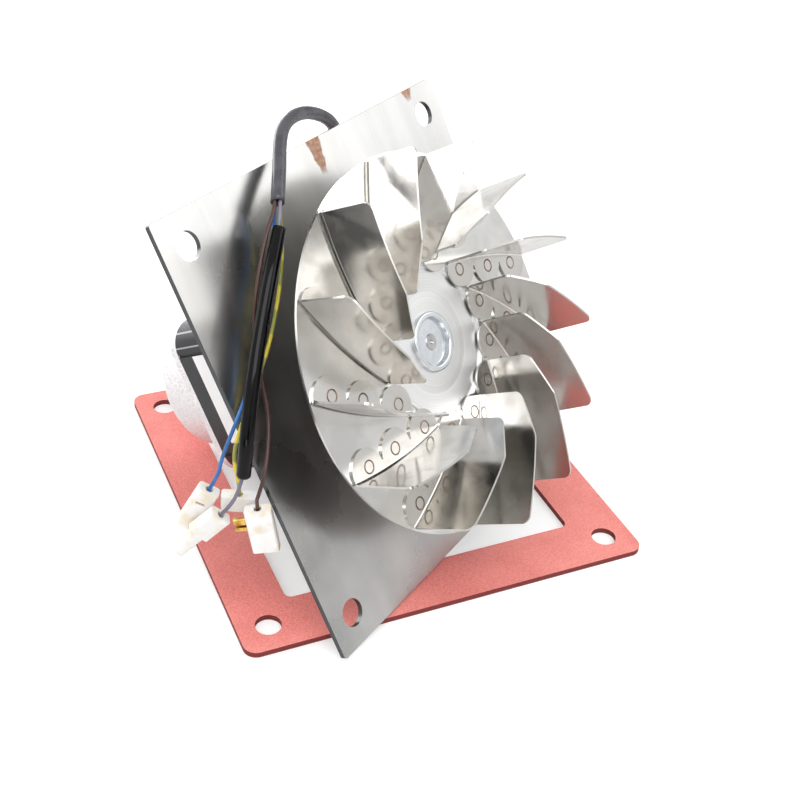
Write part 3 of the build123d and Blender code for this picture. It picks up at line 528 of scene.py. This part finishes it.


# Mounting plate
# Square of bare cold-rolled sheet steel, 2.5 mm thick, cut with sharp edges. It is faintly streaked from
# rolling, smudged, and rusting a little at the top edge. Its cut edges are painted nearly black as shade.
bare_steel, steel_tree, steel_shader = new_material(
    "plate_steel", (0.5, 0.5, 0.5), roughness=0.3, metallic=1.0
)
steel_place = use_group(steel_tree, fan_space)
smudge = use_group(steel_tree, cloud, {"Place": steel_place, "Size": 0.016, "Low": 0.3, "High": 0.7})
rolling = use_group(
    steel_tree,
    cloud,
    {"Place": steel_place, "Size": 0.05, "Stretch": (1.0, 0.08, 1.0), "Low": 0.3, "High": 0.7},
)
steel_tone = blended(
    steel_tree,
    rolling,
    blended(steel_tree, smudge, (0.40, 0.40, 0.395), (0.53, 0.525, 0.51)),
    blended(steel_tree, smudge, (0.46, 0.46, 0.455), (0.60, 0.59, 0.57)),
)


def rust_patch(tree, place, centre, half_width, top, bottom):
    parts = add(tree, "ShaderNodeSeparateXYZ", {0: place}).outputs
    ragged = add(tree, "ShaderNodeTexNoise", {"Vector": place, "Scale": 0.18, "Detail": 2.0})
    offset = add(tree, "ShaderNodeMath", {0: parts["X"], 1: centre}, operation="SUBTRACT")
    sideways = add(tree, "ShaderNodeMath", {0: offset.outputs[0]}, operation="ABSOLUTE")
    foot_width = half_width * 0.45
    reach = add(tree, "ShaderNodeMapRange", {0: parts["Y"], 1: bottom, 2: top, 3: foot_width, 4: half_width})
    wobble = add(
        tree,
        "ShaderNodeMath",
        {0: ragged.outputs["Fac"], 1: half_width * 0.8, 2: -half_width * 0.4},
        operation="MULTIPLY_ADD",
    )
    edge = add(tree, "ShaderNodeMath", {0: reach.outputs[0], 1: wobble.outputs[0]}, operation="ADD")
    margin = add(tree, "ShaderNodeMath", {0: edge.outputs[0], 1: sideways.outputs[0]}, operation="SUBTRACT")
    inside = add(tree, "ShaderNodeMapRange", {0: margin.outputs[0], 1: 0.0, 2: 1.0})
    above = add(tree, "ShaderNodeMapRange", {0: parts["Y"], 1: bottom - 2.0, 2: bottom + 2.0})
    patch = add(tree, "ShaderNodeMath", {0: inside.outputs[0], 1: above.outputs[0]}, operation="MULTIPLY")
    return patch.outputs[0]


rust_run = rust_patch(steel_tree, steel_place, centre=4.5, half_width=5.5, top=106.0, bottom=90.0)
rust_corner = rust_patch(steel_tree, steel_place, centre=83.0, half_width=5.0, top=106.0, bottom=101.0)
rust = add(steel_tree, "ShaderNodeMath", {0: rust_run, 1: rust_corner}, operation="MAXIMUM").outputs[0]
rust_tone = blended(
    steel_tree,
    use_group(steel_tree, cloud, {"Place": steel_place, "Size": 0.6}),
    (0.36, 0.19, 0.12),
    (0.52, 0.32, 0.23),
)
steel_facing = add(
    steel_tree,
    "ShaderNodeVectorMath",
    {0: add(steel_tree, "ShaderNodeNewGeometry").outputs["Normal"], 1: fan_front},
    operation="DOT_PRODUCT",
).outputs["Value"]
steel_flat = add(steel_tree, "ShaderNodeMath", {0: steel_facing}, operation="ABSOLUTE").outputs[0]
# Painted shade: faces that turn away from the front and back, the plate's cut edges, are coloured nearly black.
plate_edge_shade = add(steel_tree, "ShaderNodeMapRange", {0: steel_flat, 1: 0.9, 2: 0.6}).outputs[0]
steel_tone = blended(steel_tree, plate_edge_shade, steel_tone, (0.10, 0.10, 0.105))
steel_tree.links.new(blended(steel_tree, rust, steel_tone, rust_tone), steel_shader.inputs["Base Color"])
steel_polish = between(steel_tree, smudge, 0.24, 0.36)
steel_rough = add(steel_tree, "ShaderNodeMix", {0: rust, 2: steel_polish, 3: 0.8}, data_type="FLOAT").outputs[0]
steel_tree.links.new(steel_rough, steel_shader.inputs["Roughness"])
steel_metal = add(steel_tree, "ShaderNodeMapRange", {0: rust, 3: 1.0, 4: 0.1}).outputs[0]
steel_tree.links.new(steel_metal, steel_shader.inputs["Metallic"])
steel_skin = use_group(
    steel_tree, grain, {"Place": steel_place, "Size": 2.5, "Stretch": (1.0, 0.1, 1.0), "Height": 0.003}
)
steel_tree.links.new(steel_skin, steel_shader.inputs["Normal"])
dress(["mounting_plate"], bare_steel)


# Screws, spacers and bolts
# Zinc-plated steel: screws on the plate, hexagonal spacers behind it, and the long bolts that
# hold the motor's end bells on its core.
def turned_metal(name, dark, light, low_rough, high_rough, cloud_size=0.1, mark_height=0.01):
    made, tree, shader = new_material(name, light, low_rough, metallic=1.0)
    place = use_group(tree, fan_space)
    tone = use_group(tree, cloud, {"Place": place, "Size": cloud_size, "Low": 0.3, "High": 0.7})
    tree.links.new(blended(tree, tone, dark, light), shader.inputs["Base Color"])
    tree.links.new(between(tree, tone, high_rough, low_rough), shader.inputs["Roughness"])
    skin = use_group(tree, grain, {"Place": place, "Size": 1.2, "Height": mark_height})
    tree.links.new(skin, shader.inputs["Normal"])
    return made


zinc = turned_metal(
    "zinc_steel", (0.50, 0.53, 0.57), (0.68, 0.71, 0.76), low_rough=0.26, high_rough=0.42
)
dress(["plate_screws", "standoffs", "through_bolts", "hub_screw"], zinc)


# Motor end bells
# Aluminium castings with a fine sandy skin. The rear one shows beside the plate, the front one
# hides behind it.
cast, cast_tree, cast_shader = new_material(
    "cast_aluminium", (0.9, 0.87, 0.88), roughness=0.5, metallic=0.2
)
cast_place = use_group(cast_tree, fan_space)
cast_cloud = use_group(cast_tree, cloud, {"Place": cast_place, "Size": 0.06, "Low": 0.3, "High": 0.7})
cast_pits = use_group(cast_tree, cloud, {"Place": cast_place, "Size": 0.9, "Low": 0.25, "High": 0.6})
cast_tree.links.new(
    blended(
        cast_tree,
        cast_pits,
        (0.68, 0.66, 0.66),
        blended(cast_tree, cast_cloud, (0.84, 0.81, 0.82), (0.95, 0.92, 0.93)),
    ),
    cast_shader.inputs["Base Color"],
)
cast_skin = use_group(cast_tree, grain, {"Place": cast_place, "Size": 0.8, "Height": 0.15})
cast_tree.links.new(cast_skin, cast_shader.inputs["Normal"])
dress(["front_end_bell", "rear_end_bell", "rotor_end_rings"], cast)


# Motor core
# Stack of steel sheets half a millimetre thick, dipped in black varnish. Their edges show as fine lines round
# its sides. Two thin light grey lines along the upper part of the sides are painted highlights.
core_black, core_tree, core_shader = new_material("core_paint", (0.012, 0.012, 0.014), roughness=0.34)
core_place = use_group(core_tree, fan_space)
core_parts = add(core_tree, "ShaderNodeSeparateXYZ", {0: core_place}).outputs
sheet_frequency = 12.5
sheets = add(core_tree, "ShaderNodeMath", {0: core_parts["Z"], 1: sheet_frequency}, operation="MULTIPLY")
ridges = add(core_tree, "ShaderNodeMath", {0: sheets.outputs[0]}, operation="SINE")
core_bump = add(
    core_tree, "ShaderNodeBump", {"Strength": 0.5, "Distance": 0.00006, "Height": ridges.outputs[0]}
)
core_tree.links.new(core_bump.outputs[0], core_shader.inputs["Normal"])
core_wear = use_group(core_tree, cloud, {"Place": core_place, "Size": 0.2, "Low": 0.5, "High": 0.8})
core_tone = blended(core_tree, core_wear, (0.012, 0.012, 0.015), (0.030, 0.030, 0.036))
# Painted highlight: two thin light grey lines on the core's side, painted into its colour.
highlight_half_width = 0.35
for highlight_place in (32.0, 38.5):
    on_highlight = add(
        core_tree,
        "ShaderNodeMath",
        {0: core_parts["Y"], 1: highlight_place, 2: highlight_half_width},
        operation="COMPARE",
    ).outputs[0]
    core_tone = blended(core_tree, on_highlight, core_tone, (0.42, 0.42, 0.45))
core_tree.links.new(core_tone, core_shader.inputs["Base Color"])
core_tree.links.new(between(core_tree, core_wear, 0.28, 0.5), core_shader.inputs["Roughness"])
dress(["stator_core"], core_black)


# Sticker
# Blank white adhesive label, pressed on the left side of the motor core.
def thin_sheet(name, corner_points, thickness):
    outline = [on_fan(point) for point in corner_points]
    away = (outline[1] - outline[0]).cross(outline[3] - outline[0]).normalized() * thickness / 1000.0
    corners = outline + [point + away for point in outline]
    faces = [(3, 2, 1, 0), (4, 5, 6, 7), (0, 1, 5, 4), (1, 2, 6, 5), (2, 3, 7, 6), (3, 0, 4, 7)]
    mesh = bpy.data.meshes.new(name)
    mesh.from_pydata([tuple(point) for point in corners], [], faces)
    made = bpy.data.objects.new(name, mesh)
    bpy.context.collection.objects.link(made)
    return made


sticker_white, sticker_tree, sticker_shader = new_material(
    "sticker_white", (0.86, 0.86, 0.86), roughness=0.4
)
sticker_place = use_group(sticker_tree, fan_space)
sticker_tone = use_group(sticker_tree, cloud, {"Place": sticker_place, "Size": 0.08})
sticker_tree.links.new(
    blended(sticker_tree, sticker_tone, (0.92, 0.92, 0.92), (0.97, 0.97, 0.97)),
    sticker_shader.inputs["Base Color"],
)
core_side, sticker_low, sticker_high, sticker_back, sticker_front = -42.0, -22.0, 27.0, -87.0, -58.0
sticker_corners = [
    (core_side, sticker_low, sticker_back), (core_side, sticker_low, sticker_front),
    (core_side, sticker_high, sticker_front), (core_side, sticker_high, sticker_back),
]
sticker = thin_sheet("sticker", sticker_corners, thickness=0.15)
sticker.data.materials.append(sticker_white)
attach(sticker, "frame")


# Inside of the motor
# Copper winding under brown varnish, bearing steel, and the steel and cast aluminium rotor.
copper, copper_tree, copper_shader = new_material(
    "winding_copper", (0.32, 0.10, 0.03), roughness=0.4, metallic=0.6
)
copper_place = use_group(copper_tree, fan_space)
strands = add(copper_tree, "ShaderNodeTexNoise", {"Vector": copper_place, "Scale": 0.8, "Detail": 2.0})
copper_tree.links.new(
    blended(copper_tree, strands.outputs["Fac"], (0.22, 0.06, 0.02), (0.42, 0.15, 0.05)),
    copper_shader.inputs["Base Color"],
)
dress(["stator_winding"], copper)
bearing_steel = turned_metal(
    "bearing_steel", (0.5, 0.5, 0.51), (0.66, 0.66, 0.67), low_rough=0.14, high_rough=0.25
)
dress(
    [
        "front_bearing_outer", "front_bearing_balls", "front_bearing_inner", "rear_bearing_outer",
        "rear_bearing_balls", "rear_bearing_inner", "bearing_spring",
    ],
    bearing_steel,
)
rotor_steel = turned_metal(
    "rotor_steel", (0.2, 0.2, 0.21), (0.32, 0.32, 0.33), low_rough=0.4, high_rough=0.6
)
dress(["rotor_core"], rotor_steel)


# Cooling fan and cable gland
# Black moulded plastic: the small fan that cools the motor, and the bush that holds the cable.
black_moulding = soft_plastic(
    "black_plastic", (0.02, 0.02, 0.021), roughness=0.5, grain_size=0.7, grain_height=0.08
)
dress(["cooling_fan", "cable_gland"], black_moulding)


# Wheel disc and blades
# Bright stainless sheet. The disc is pressed with a dished middle, and thirteen folded blades
# are spot-welded to it by the round lobes of their feet.
bright, bright_tree, bright_shader = new_material(
    "wheel_steel", (0.8, 0.79, 0.77), roughness=0.2, metallic=1.0
)
bright_place = use_group(bright_tree, fan_space)
haze = use_group(bright_tree, cloud, {"Place": bright_place, "Size": 0.03, "Low": 0.3, "High": 0.7})
fingers = use_group(bright_tree, cloud, {"Place": bright_place, "Size": 0.12, "Low": 0.45, "High": 0.75})
bright_tone = blended(
    bright_tree,
    haze,
    blended(bright_tree, fingers, (0.58, 0.565, 0.54), (0.50, 0.48, 0.445)),
    blended(bright_tree, fingers, (0.66, 0.645, 0.62), (0.58, 0.56, 0.53)),
)
bright_tree.links.new(bright_tone, bright_shader.inputs["Base Color"])
bright_tree.links.new(between(bright_tree, fingers, 0.15, 0.24), bright_shader.inputs["Roughness"])
bright_skin = use_group(bright_tree, grain, {"Place": bright_place, "Size": 0.025, "Height": 0.012})
bright_tree.links.new(bright_skin, bright_shader.inputs["Normal"])
blade_names = [f"blade_{number:02d}" for number in range(1, 14)]
dress(blade_names, bright)

disc_steel, disc_tree, disc_shader = new_material(
    "disc_steel", (0.72, 0.71, 0.69), roughness=0.22, metallic=1.0
)
disc_place = use_group(disc_tree, fan_space)
disc_parts = add(disc_tree, "ShaderNodeSeparateXYZ", {0: disc_place}).outputs
flat_place = add(disc_tree, "ShaderNodeCombineXYZ", {0: disc_parts["X"], 1: disc_parts["Y"], 2: 0.0}).outputs[0]
disc_radius = add(disc_tree, "ShaderNodeVectorMath", {0: flat_place}, operation="LENGTH").outputs["Value"]
ring_place = add(disc_tree, "ShaderNodeCombineXYZ", {0: disc_radius, 1: 0.0, 2: 0.0}).outputs[0]
dish_edge_outer, dish_edge_inner = 37.5, 35.5
in_dish = add(
    disc_tree,
    "ShaderNodeMapRange",
    {0: disc_radius, 1: dish_edge_outer, 2: dish_edge_inner},
    interpolation_type="SMOOTHSTEP",
).outputs[0]
rings = use_group(disc_tree, cloud, {"Place": ring_place, "Size": 0.9, "Low": 0.3, "High": 0.7})
disc_haze = use_group(disc_tree, cloud, {"Place": disc_place, "Size": 0.05, "Low": 0.3, "High": 0.7})
outer_tone = blended(disc_tree, disc_haze, (0.60, 0.595, 0.58), (0.72, 0.71, 0.69))
dish_tone = blended(disc_tree, rings, (0.62, 0.62, 0.615), (0.70, 0.70, 0.695))
disc_tree.links.new(blended(disc_tree, in_dish, outer_tone, dish_tone), disc_shader.inputs["Base Color"])
disc_tree.links.new(between(disc_tree, in_dish, 0.17, 0.38), disc_shader.inputs["Roughness"])
ring_skin = use_group(disc_tree, grain, {"Place": ring_place, "Size": 2.2, "Height": 0.004})
disc_tree.links.new(ring_skin, disc_shader.inputs["Normal"])
dress(["impeller_disc"], disc_steel)


# Spot welds
# Each lobe of a blade's foot is held by one spot weld, a shallow round dent with a brown rim
# of heat tint.
weld_tint, weld_tree, weld_shader = new_material(
    "weld_tint", (0.22, 0.15, 0.11), roughness=0.35, metallic=0.9
)
weld_place = use_group(weld_tree, fan_space)
weld_cloud = use_group(weld_tree, cloud, {"Place": weld_place, "Size": 0.4})
weld_tree.links.new(
    blended(weld_tree, weld_cloud, (0.14, 0.10, 0.08), (0.30, 0.22, 0.16)), weld_shader.inputs["Base Color"]
)


def ring_mesh(name, inner, outer, height, steps=28):
    mesh = bpy.data.meshes.new(name)
    points = []
    for step in range(steps):
        angle = 2 * math.pi * step / steps
        for radius, level in ((inner, 0.0), ((inner + outer) / 2, height), (outer, 0.0)):
            points.append((radius * math.cos(angle) / 1000, radius * math.sin(angle) / 1000, level / 1000))
    faces = []
    for step in range(steps):
        here, there = 3 * step, 3 * ((step + 1) % steps)
        for k in range(2):
            faces.append((here + k, here + k + 1, there + k + 1, there + k))
    mesh.from_pydata(points, [], faces)
    return mesh


weld_ring = bpy.data.objects.new("weld_ring", ring_mesh("weld_ring", inner=2.5, outer=3.25, height=0.07))
bpy.context.collection.objects.link(weld_ring)

blade_count = 13
first_blade = 5.0
blade_outer_radius, blade_inner_radius = 89.2, 39.4
blade_sweep = math.radians(40.2)
blade_outer = Vector((blade_outer_radius, 0.0))
blade_inner = Vector((blade_inner_radius * math.cos(blade_sweep), blade_inner_radius * math.sin(blade_sweep)))
chord = (blade_inner - blade_outer).normalized()
lobe_side = Vector((-chord.y, chord.x))
weld_offset = 3.5
weld_spots = [blade_outer + chord * along_foot + lobe_side * weld_offset for along_foot in (12.0, 31.5, 54.7)]
weld_level = 28.55

welds = bpy.data.node_groups.new("spot_welds", "GeometryNodeTree")
welds.interface.new_socket(name="Geometry", in_out="INPUT", socket_type="NodeSocketGeometry")
blades_socket = welds.interface.new_socket(name="Blades", in_out="INPUT", socket_type="NodeSocketInt")
pitch_socket = welds.interface.new_socket(name="Pitch", in_out="INPUT", socket_type="NodeSocketFloat")
welds.interface.new_socket(name="Geometry", in_out="OUTPUT", socket_type="NodeSocketGeometry")
weld_in = welds.nodes.new("NodeGroupInput").outputs
weld_out = welds.nodes.new("NodeGroupOutput").inputs
ring_source = add(welds, "GeometryNodeObjectInfo", {"Object": weld_ring}).outputs["Geometry"]
on_foot = add(welds, "GeometryNodeInstanceOnPoints", {"Points": weld_in["Geometry"], "Instance": ring_source})
turns = add(welds, "GeometryNodeMeshLine", {"Count": weld_in["Blades"], "Offset": (0.0, 0.0, 0.0)})
index = add(welds, "GeometryNodeInputIndex").outputs[0]
angle = add(welds, "ShaderNodeMath", {0: index, 1: weld_in["Pitch"]}, operation="MULTIPLY").outputs[0]
spin = add(welds, "ShaderNodeCombineXYZ", {2: angle}).outputs[0]
round_hub = add(
    welds,
    "GeometryNodeInstanceOnPoints",
    {"Points": turns.outputs[0], "Instance": on_foot.outputs[0], "Rotation": spin},
)
real = add(welds, "GeometryNodeRealizeInstances", {0: round_hub.outputs[0]})
painted = add(welds, "GeometryNodeSetMaterial", {0: real.outputs[0], "Material": weld_tint})
welds.links.new(painted.outputs[0], weld_out["Geometry"])

foot_mesh = bpy.data.meshes.new("weld_spots")
first_turn = Matrix.Rotation(math.radians(first_blade), 2)
foot_mesh.from_pydata([(*(first_turn @ spot / 1000), weld_level / 1000) for spot in weld_spots], [], [])
foot_points = bpy.data.objects.new("weld_spots", foot_mesh)
bpy.context.collection.objects.link(foot_points)
maker = foot_points.modifiers.new("spot_welds", "NODES")
maker.node_group = welds
maker[blades_socket.identifier] = blade_count
maker[pitch_socket.identifier] = 2 * math.pi / blade_count
weld_marks = plain_mesh(foot_points, "weld_marks")
weld_marks.data.transform(Matrix.Translation(fan_centre) @ fan_axes.to_4x4())
bpy.data.objects.remove(foot_points)
bpy.data.objects.remove(weld_ring)
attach(weld_marks, "wheel")


# Hub
# Collar turned from steel and plated with bright zinc, with fine turning marks.
hub_zinc = turned_metal(
    "hub_zinc",
    (0.60, 0.63, 0.66),
    (0.72, 0.75, 0.78),
    low_rough=0.16,
    high_rough=0.26,
    cloud_size=0.2,
    mark_height=0.002,
)
dress(["hub"], hub_zinc)


# Shaft
# Ground steel, its end face bare and a little dull, with a centre mark.
shaft_steel = turned_metal(
    "shaft_steel", (0.36, 0.36, 0.36), (0.5, 0.5, 0.5), low_rough=0.3, high_rough=0.45
)
dress(["shaft"], shaft_steel)
